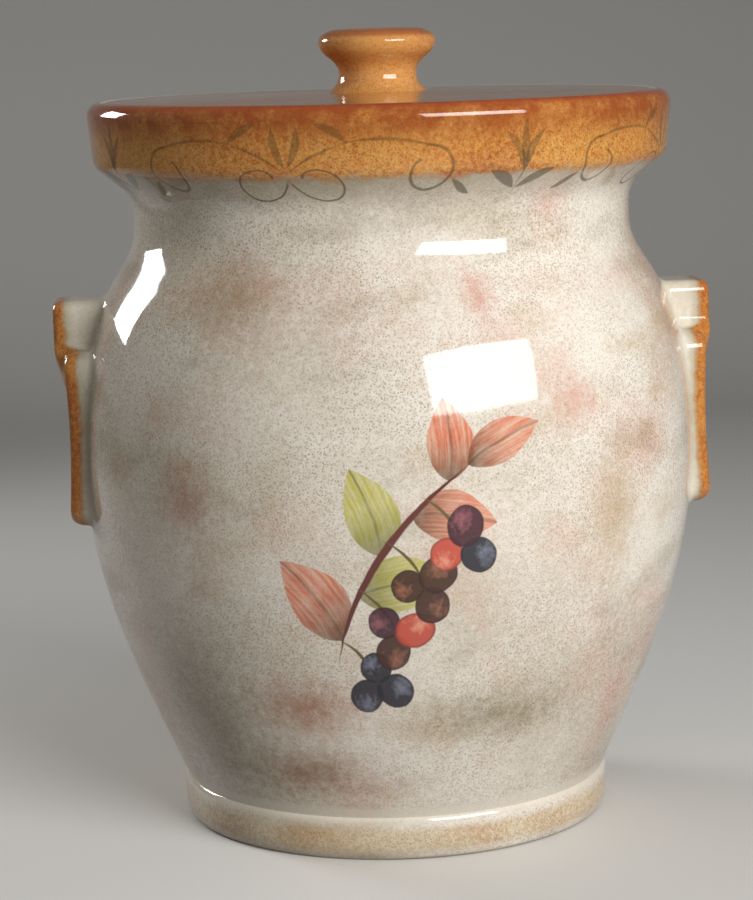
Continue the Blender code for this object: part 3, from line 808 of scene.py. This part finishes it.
def fruit(tree, flat, under, place, radius, stretch, turn, colour, bloom):
    """A round fruit: dark skin, darker at its rim, with a brushed gleam of bloom on its upper right."""
    own = add(tree, "Mapping", flat, (*place, 0.0), (0.0, 0.0, turn), (radius * stretch, radius, 1.0),
              vector_type="TEXTURE")
    reach = add(tree, "VectorMath", own, operation="LENGTH")
    share = add(tree, "MapRange", reach, 0.93, 1.0, 0.97, 0.0)
    brushed = add(tree, "TexNoise", noise_dimensions="4D",
                  named={"Vector": own, "W": turn + place[0] / MM, "Scale": 3.2, "Detail": 4.0})
    gleam = add(tree, "VectorMath", own, (0.30, 0.28, 0.0), operation="DISTANCE")
    uneven = add(tree, "Math", brushed, 1.7, gleam, operation="MULTIPLY_ADD")
    bloomed = add(tree, "MapRange", uneven, 0.90, 1.50, 0.80, 0.0)
    lit = add(tree, "Mix", bloomed, linear(colour), linear(bloom), data_type="RGBA")
    rim = add(tree, "MapRange", reach, 0.80, 0.96, 0.0, 0.55)
    rimmed = add(tree, "Mix", rim, lit, linear("#1c1519"), data_type="RGBA")
    return add(tree, "Mix", share, under, rimmed, data_type="RGBA")


def bough_place(share):
    """A place on the sprig's bough, and the direction in which it grows there."""
    run = SPRIG_TIP - SPRIG_ROOT
    across = Vector((-run.y, run.x))
    place = SPRIG_ROOT + run * share + across * BOUGH_BEND * 4 * share * (1 - share)
    slope = run + across * BOUGH_BEND * 4 * (1 - 2 * share)
    return place, math.atan2(slope.y, slope.x)


def sprig(tree, point, under):
    """A plain sprig for the front: a bough with leaves on both sides and bunches of round fruit."""
    wall = unrolled(tree, point, BELLY_RADIUS)
    flat = hand_drawn(tree, wall, shake=1.3 * MM, span=5 * MM)
    tints = (("#dc7b5c", "#57452c"), ("#c3bd58", "#66632c"))
    colour = under
    for step in range(LEAVES):
        place, grows = bough_place(0.12 + 0.76 * step / (LEAVES - 1))
        side = 1 if step % 2 == 0 else -1
        length = LEAF_LENGTH * (1.0 - 0.05 * step)
        colour = leaf(tree, flat, colour, place, grows + side * LEAF_SPLAY, length, 0.60 * length, -0.06 * side,
                      *tints[(step // 2 + step) % 2])
    place, grows = bough_place(0.97)
    colour = leaf(tree, flat, colour, place, grows - math.radians(8), LEAF_LENGTH * 0.85, LEAF_LENGTH * 0.42,
                  0.05, *tints[0])

    run = SPRIG_TIP - SPRIG_ROOT
    bough = stroke(tree, flat, SPRIG_ROOT, math.atan2(run.y, run.x), run.length, BOUGH_WIDTH, BOUGH_BEND)[0]
    colour = add(tree, "Mix", bough, colour, linear("#6a3530"), data_type="RGBA")
    skins = (("#242431", "#7f8296"), ("#46202c", "#9c5c66"), ("#4a2a20", "#a2674f"), ("#c9513f", "#eda184"))
    for bunch in range(BUNCHES):
        place = bough_place(0.10 + 0.22 * bunch)[0]
        stalk = stroke(tree, flat, place - BUNCH_DROP * 0.2, math.atan2(BUNCH_DROP.y, BUNCH_DROP.x),
                       BUNCH_DROP.length * 1.2, STALK_WIDTH, bend=0.10)[0]
        colour = add(tree, "Mix", stalk, colour, linear("#6a5a30"), data_type="RGBA")
        for step in range(3):
            turn = math.radians(100 + 120 * step + 35 * bunch)
            seat = place + BUNCH_DROP + Vector((math.cos(turn), math.sin(turn))) * FRUIT_RADIUS * 1.08
            radius = FRUIT_RADIUS * (1.0 + 0.05 * step)
            skin = skins[(bunch + step * (bunch % 2)) % len(skins)]
            colour = fruit(tree, flat, colour, seat, radius, 1.0 + 0.07 * step, turn, *skin)
    return colour


def inked(tree, flat, under, opacity, place, degrees, length, width, bend=0.0):
    """One ink stroke of the scroll, with its place, length and width in millimetres."""
    share = stroke(tree, flat, Vector(place) * MM, math.radians(degrees), length * MM, width * MM, bend)[0]
    faint = add(tree, "Math", share, opacity, operation="MULTIPLY")
    return add(tree, "Mix", faint, under, linear(INK), data_type="RGBA")


def curl(tree, flat, under, opacity, place, degrees, radius, across):
    """A thin ink tendril that winds in on itself, from an outer end that faces away from its turn.

    Its place and radii are in millimetres. It winds the other way round where its radius across the turn
    is negative.
    """
    own = add(tree, "Mapping", flat, (*(Vector(place) * MM), 0.0), (0.0, 0.0, math.radians(degrees)),
              (radius * MM, across * MM, 1.0), vector_type="TEXTURE")
    parts = add(tree, "SeparateXYZ", own)
    angle = add(tree, "Math", parts.outputs[1], parts.outputs[0], operation="ARCTAN2")
    reach = add(tree, "VectorMath", own, operation="LENGTH")
    wound = add(tree, "Math", angle, 0.10, reach, operation="MULTIPLY_ADD")
    off = add(tree, "Math", wound, 1.0, operation="SUBTRACT")
    aside = add(tree, "Math", off, operation="ABSOLUTE")
    thin = SCROLL_LINE / (radius * MM)
    line = add(tree, "MapRange", aside, thin / 2, thin, 1.0, 0.0)
    open_end = add(tree, "MapRange", angle, -2.9, -2.6)
    drawn = add(tree, "Math", line, open_end, operation="MULTIPLY")
    faint = add(tree, "Math", drawn, opacity, operation="MULTIPLY")
    return add(tree, "Mix", faint, under, linear(INK), data_type="RGBA")


def scroll(tree, point, under):
    """The vine scroll round the collar, mirrored about each bud: leaves, a wandering stem and its curls."""
    parts = add(tree, "SeparateXYZ", unrolled(tree, point, COLLAR_RADIUS, SCROLL_BUD))
    half = math.pi * COLLAR_RADIUS / SCROLL_BUDS
    shifted = add(tree, "Math", parts.outputs[0], half, operation="ADD")
    mirrored = add(tree, "Math", shifted, half, operation="PINGPONG")
    arc = add(tree, "Math", half, mirrored, operation="SUBTRACT")
    height = add(tree, "Math", parts.outputs[1], AMBER_EDGE - SCROLL_DROP, operation="SUBTRACT")
    opacity = add(tree, "MapRange", height, 0.0, 9 * MM, INK_ON_CREAM, INK_ON_AMBER)
    flat = hand_drawn(tree, add(tree, "CombineXYZ", arc, height), shake=0.9 * MM, span=4 * MM)

    # The bud: its middle leaf, an upper and a lower leaf beside it, and their stalk
    colour = inked(tree, flat, under, opacity, (0, 1), degrees=90, length=19, width=3.6)
    colour = inked(tree, flat, colour, opacity, (0.2, 1.5), degrees=62, length=16, width=3.4, bend=0.10)
    colour = inked(tree, flat, colour, opacity, (0.2, -4.7), degrees=28, length=15, width=4.0, bend=0.06)
    colour = inked(tree, flat, colour, opacity, (0, -7), degrees=90, length=11, width=1.1)

    # The stem, in two strokes, with a leaf below its start and one where the strokes meet
    colour = inked(tree, flat, colour, opacity, (26.4, 0.6), degrees=216, length=11, width=3.0, bend=0.05)
    colour = inked(tree, flat, colour, opacity, (23, 7.6), degrees=5, length=47, width=1.5, bend=0.09)
    colour = inked(tree, flat, colour, opacity, (62, 13), degrees=-26, length=24, width=1.5, bend=0.06)
    colour = inked(tree, flat, colour, opacity, (62, 12.6), degrees=30, length=14, width=3.2, bend=0.08)

    # The leaf where it meets its mirror image, and the curl at each of its ends
    colour = inked(tree, flat, colour, opacity, (83.4, 4.5), degrees=106, length=15, width=3.4, bend=0.08)
    colour = curl(tree, flat, colour, opacity, (35, 3), degrees=-119, radius=6.6, across=7.8)
    return curl(tree, flat, colour, opacity, (72.5, -0.3), degrees=-165, radius=8.6, across=-5.4)


# Materials

def jar_glaze():
    """Earthenware sponged and painted under a clear glaze: soft, grainy colours deep under a wet shine."""
    material, tree, point = new_material("sponged_and_painted_earthenware")
    colour = cream_ground(tree, point)

    # The larger smears on the front, low down, on the left, and high on the right
    colour = smear(tree, point, colour, "#87764c", (34 * MM, 55 * MM), 50 * MM, 15 * MM, 0.8)
    colour = smear(tree, point, colour, "#a5643c", (-44 * MM, 60 * MM), 38 * MM, 15 * MM, 0.8)
    colour = smear(tree, point, colour, "#8f5830", (-50 * MM, 33 * MM), 48 * MM, 15 * MM, 0.85)
    # The olive-brown smear low on the left is partly the glaze's own olive and mostly painted shade
    colour = smear(tree, point, colour, "#665a3c", (-92 * MM, 50 * MM), 34 * MM, 44 * MM, 0.5)
    colour = smear(tree, point, colour, "#9a835e", (-72 * MM, 200 * MM), 34 * MM, 22 * MM, 0.7)
    colour = smear(tree, point, colour, "#cf8c76", (27 * MM, 201 * MM), 10 * MM, 10 * MM, 0.75)
    colour = smear(tree, point, colour, "#cf8c76", (61 * MM, 163 * MM), 16 * MM, 12 * MM, 0.65)
    colour = smear(tree, point, colour, "#a9705b", (-84 * MM, 132 * MM), 18 * MM, 20 * MM, 0.75)
    colour = smear(tree, point, colour, "#b39a6e", (78 * MM, 124 * MM), 18 * MM, 34 * MM, 0.7)

    colour = collar_and_foot(tree, point, colour)
    colour = sprig(tree, point, scroll(tree, point, colour))
    glaze(tree, point, colour)
    return material


def lid_glaze():
    """Earthenware stained amber on the wheel: broken rusty rings, and a gloss that ripples with them."""
    material, tree, point = new_material("wheel_stained_earthenware")
    parts = add(tree, "SeparateXYZ", point)
    flat = add(tree, "CombineXYZ", parts.outputs[0], parts.outputs[1])
    radius = add(tree, "VectorMath", flat, operation="LENGTH")
    ring = add(tree, "TexNoise", noise_dimensions="1D",
               named={"W": radius, "Scale": 0.5 / (4 * MM)})
    dark = add(tree, "MapRange", ring, 0.40, 0.7, 0.0, 0.5)
    amber = amber_ground(tree, point, browning=0.02)
    rusty = add(tree, "Mix", dabbed(tree, point, 0.55), amber, linear("#b0501f"), data_type="RGBA")
    ringed = add(tree, "Mix", dark, rusty, linear("#7c3415"), data_type="RGBA")
    glaze(tree, point, ringed, unevenness=3.0 * MM, relief=ring)
    return material


def knob_glaze():
    """Earthenware sponged amber: warm and speckled, pale where the stain ran thin, with a rusty rim."""
    material, tree, point = new_material("amber_sponged_earthenware")
    amber = amber_ground(tree, point, browning=-0.06)
    pale = add(tree, "Mix", 0.3, amber, linear("#dda266"), data_type="RGBA")
    height = add(tree, "SeparateXYZ", point).outputs[2]
    rim = band(tree, height, KNOB_SEAT + KNOB_HEIGHT - 1.6 * MM, 0.6 * MM, 1.4 * MM, 0.65)
    glaze(tree, point, add(tree, "Mix", rim, pale, linear("#b0512a"), data_type="RGBA"))
    return material


def handle_glaze():
    """Cream earthenware, brushed with amber round the handles' outer faces: quiet sides and a lively edge."""
    material, tree, point = new_material("amber_edged_earthenware")
    behind = add(tree, "Attribute", attribute_name="behind_face")
    ragged = add(tree, "TexNoise", named={"Vector": point, "Scale": 0.5 / (3 * MM), "Detail": 4.0})
    reached = add(tree, "Math", ragged, -3.0 * MM, behind.outputs["Fac"], operation="MULTIPLY_ADD")
    cream = sponged(tree, point, linear("#e2d9c8"), "#c2b59a", patch=18 * MM, dab=1.2 * MM, evenness=0.3,
                    cut=0.46, strength=0.6, seed=51.0)
    cream = specked(tree, point, cream, "#8c7650", spacing=1.4 * MM, size=0.8 * MM, cut=0.56, strength=0.35,
                    seed=52.0)
    # Olive fringe between the cream sides and the amber edge: partly the glaze's own blend, partly painted
    # shade
    olive_fringe_and_shade = add(tree, "MapRange", reached, 2.6 * MM, 6.2 * MM, 0.6, 0.0)
    fringed_and_shaded = add(tree, "Mix", olive_fringe_and_shade, cream, linear("#8f7f50"), data_type="RGBA")
    amber = amber_ground(tree, point, browning=0.02)
    rusty = add(tree, "Mix", dabbed(tree, point, 0.4), amber, linear("#a0491c"), data_type="RGBA")
    share = add(tree, "MapRange", reached, 1.8 * MM, 3.6 * MM, 1.0, 0.0)
    glaze(tree, point, add(tree, "Mix", share, fringed_and_shaded, rusty, data_type="RGBA"))
    return material


def lining_glaze():
    """Plain cream glazed earthenware: a calm, even, glossy pale on the inside, the ledge and under the lid."""
    material, tree, point = new_material("plain_cream_earthenware")
    glaze(tree, point, sponged(tree, point, linear("#ebe3d4"), "#dacfb9", patch=30 * MM, dab=2 * MM,
                               evenness=0.2, cut=0.45, strength=0.7, seed=21.0))
    return material


def biscuit():
    """Unglazed fired earthenware: pale, dry and matt on the foot ring, with a slight grit."""
    material, tree, point = new_material("unglazed_earthenware")
    colour = sponged(tree, point, linear("#d9cbb2"), "#b9a585", patch=12 * MM, dab=0.9 * MM, evenness=0.7,
                     cut=0.47, strength=0.5, seed=31.0)
    grit = add(tree, "TexNoise", named={"Vector": point, "Scale": 0.5 / (0.5 * MM)})
    bump = add(tree, "Bump", named={"Strength": 0.4, "Distance": 0.1 * MM, "Height": grit})
    shader = add(tree, "BsdfPrincipled",
                 named={"Base Color": colour, "Roughness": 0.85, "IOR": 1.5, "Normal": bump})
    add(tree, "OutputMaterial", shader)
    return material


def silicone():
    """Moulded silicone rubber: milky and satin, with light that goes in a little way, and some dust."""
    material, tree, point = new_material("moulded_silicone_rubber")
    dust = add(tree, "TexNoise", named={"Vector": point, "Scale": 0.5 / (2 * MM)})
    roughness = add(tree, "MapRange", dust, 0.3, 0.7, 0.34, 0.5)
    colour = add(tree, "Mix", dust, linear("#dcd9cf"), linear("#cbc7ba"), data_type="RGBA")
    shader = add(tree, "BsdfPrincipled",
                 named={"Base Color": colour, "Roughness": roughness, "IOR": 1.41,
                        "Subsurface Weight": 0.4, "Subsurface Scale": 2 * MM})
    add(tree, "OutputMaterial", shader)
    return material


def paper():
    """Matt coated studio paper: a plain pale ground, darker for the light that it throws back on the jar."""
    material, tree, point = new_material("pale_studio_paper")
    height = add(tree, "SeparateXYZ", point).outputs[2]
    rise = add(tree, "MapRange", height, 0.0, PAPER_FADE, interpolation_type="SMOOTHSTEP")
    shade = add(tree, "Mix", rise, linear("#e9e7e3"), linear("#dad8d4"), data_type="RGBA")
    bounced = add(tree, "LightPath").outputs["Is Diffuse Ray"]
    colour = add(tree, "Mix", bounced, shade, linear("#6f6c67"), data_type="RGBA")
    shader = add(tree, "BsdfPrincipled", named={"Base Color": colour, "Roughness": 0.6, "IOR": 1.45})
    add(tree, "OutputMaterial", shader)
    return material


def paint(piece, materials, choose):
    """Give a piece its materials, with a number for each face from its centre and its normal."""
    for material in materials:
        piece.data.materials.append(material)
    for face in piece.data.polygons:
        face.material_index = choose(face.center, face.normal)


def jar_zone(centre, normal):
    """0 on the decorated outside, 1 on the lining, the ledge and the recess below, 2 on the bare foot ring."""
    radius = centre.xy.length
    if centre.z < EDGE_ROUNDING:
        return 2
    if centre.z < FOOT_HEIGHT:
        return 0 if radius > FOOT_FLAT_OUTER - EDGE_ROUNDING else 1
    if centre.z < NECK_HEIGHT:
        return 0 if radius > wall_radius(centre.z) - WALL / 2 else 1
    faces_in = centre.xy.dot(normal.xy) < 0 and radius < COLLAR_RADIUS - RIM_WIDTH + EDGE_ROUNDING
    on_ledge = radius < COLLAR_RADIUS - RIM_WIDTH and normal.z > 0.5
    return 1 if faces_in or on_ledge else 0


def lid_zone(centre, normal):
    """0 on the amber top and side, 1 on the plain underside."""
    return 0 if centre.z > JAR_HEIGHT - LID_THICKNESS + EDGE_ROUNDING else 1


# Studio

def paper_sweep():
    """A sheet of paper that is the floor and curves up into the backdrop, square to the camera."""
    bend_start = SWEEP_BACK - SWEEP_BEND
    line = [(-SWEEP_HALF, 0.0), (bend_start, 0.0)]
    for step in range(1, SWEEP_STEPS + 1):
        angle = math.pi / 2 * step / SWEEP_STEPS
        line.append((bend_start + SWEEP_BEND * math.sin(angle), SWEEP_BEND * (1 - math.cos(angle))))
    line.append((SWEEP_BACK, SWEEP_TOP))
    data = bmesh.new()
    verts = [data.verts.new((-SWEEP_HALF, y, z)) for y, z in line]
    edges = [data.edges.new(pair) for pair in zip(verts, verts[1:])]
    made = bmesh.ops.extrude_edge_only(data, edges=edges)["geom"]
    moved = [item for item in made if isinstance(item, bmesh.types.BMVert)]
    bmesh.ops.translate(data, verts=moved, vec=(2 * SWEEP_HALF, 0, 0))
    bmesh.ops.recalc_face_normals(data, faces=data.faces)
    bmesh.ops.rotate(data, verts=data.verts, cent=(0, 0, 0), matrix=Matrix.Rotation(-JAR_YAW, 3, "Z"))
    mesh = bpy.data.meshes.new("studio_sweep")
    data.to_mesh(mesh)
    data.free()
    mesh.shade_smooth()
    mesh.materials.append(paper())
    sweep = bpy.data.objects.new("studio_sweep", mesh)
    bpy.context.scene.collection.objects.link(sweep)


def pale_world():
    """A dim, even, nearly white world."""
    world = bpy.data.worlds.new("pale_studio")
    bpy.context.scene.world = world
    world.use_nodes = True
    tree = world.node_tree
    tree.nodes.clear()
    add(tree, "OutputWorld", add(tree, "Background", linear("#f2f1ee"), 0.21))


def softbox(name, azimuth, elevation, width, height, watts):
    """A soft lamp that looks at the jar, with a grid that keeps it off the floor round about.

    Azimuth is from the front, towards +X.
    """
    lamp = bpy.data.lights.new(name, "AREA")
    lamp.shape = "RECTANGLE"
    lamp.size = width
    lamp.size_y = height
    lamp.energy = watts
    lamp.spread = LAMP_GRID
    item = bpy.data.objects.new(name, lamp)
    bpy.context.scene.collection.objects.link(item)
    turn = math.radians(azimuth)
    rise = math.radians(elevation)
    away = Vector((math.sin(turn) * math.cos(rise), -math.cos(turn) * math.cos(rise), math.sin(rise)))
    item.location = Vector((0, 0, LAMP_AIM)) + away * LAMP_DISTANCE
    item.rotation_euler = (-away).to_track_quat("-Z", "Y").to_euler()
    item.visible_camera = False
    return item


def keep_off_lid(lid, lamps):
    """Light the lid without mirroring the low lamps in its flat top, which would show white from behind."""
    others = bpy.data.collections.new("all_but_lid")
    others.objects.link(lid)
    others.collection_objects[0].light_linking.link_state = "EXCLUDE"
    lid_alone = bpy.data.collections.new("lid_alone")
    lid_alone.objects.link(lid)
    for lamp in lamps:
        lamp.light_linking.receiver_collection = others
        twin = lamp.copy()
        twin.name = lamp.name + "_for_lid"
        bpy.context.scene.collection.objects.link(twin)
        twin.light_linking.receiver_collection = lid_alone
        twin.visible_glossy = False


def studio(lid):
    """A pale paper sweep in a pale even world, with a softbox on each side."""
    paper_sweep()
    pale_world()
    right = softbox("right_softbox", azimuth=31, elevation=17, width=0.80, height=0.44, watts=4.4)
    left = softbox("left_softbox", azimuth=-131, elevation=18, width=0.34, height=0.34, watts=1.6)
    keep_off_lid(lid, (right, left))


def camera():
    """The photograph's camera, turned about the jar by the jar's yaw."""
    lens = bpy.data.cameras.new("photo_camera")
    lens.lens = CAMERA_LENS
    lens.sensor_width = CAMERA_FILM
    lens.clip_start = 0.05
    item = bpy.data.objects.new("photo_camera", lens)
    bpy.context.scene.collection.objects.link(item)
    place = Matrix.Translation((CAMERA_SIDE, -CAMERA_DISTANCE, CAMERA_HEIGHT))
    aim = Matrix.Rotation(math.pi / 2 - CAMERA_PITCH, 4, "X") @ Matrix.Rotation(-CAMERA_ROLL, 4, "Z")
    item.matrix_world = Matrix.Rotation(-JAR_YAW, 4, "Z") @ place @ aim
    bpy.context.scene.camera = item


def make():
    """Make every piece, then its materials, and give back the lid."""
    lining = lining_glaze()

    jar = new_piece("glazed_jar", turned(jar_outline(), ROUND_STEPS), "jar", "jar")
    paint(jar, [jar_glaze(), lining, biscuit()], jar_zone)

    edged = handle_glaze()
    for name, side, lean in (("right_handle", 0.0, RIGHT_LEAN), ("left_handle", math.pi, 0.0)):
        handle = lug(name + "_glazed", side, lean)
        handle.data.materials.append(edged)

    lid = new_piece("glazed_lid", turned(lid_outline(), ROUND_STEPS), "lid", "lid")
    paint(lid, [lid_glaze(), lining], lid_zone)
    knob = new_piece("glazed_knob", turned(knob_outline(), KNOB_STEPS), "lid", "lid_knob")
    knob.data.materials.append(knob_glaze())
    seal = new_piece("silicone_ring", turned(seal_outline(), ROUND_STEPS), "lid", "lid_seal_ring")
    seal.data.materials.append(silicone())
    return lid


camera()
studio(make())
bpy.context.scene.view_settings.view_transform = "Standard"
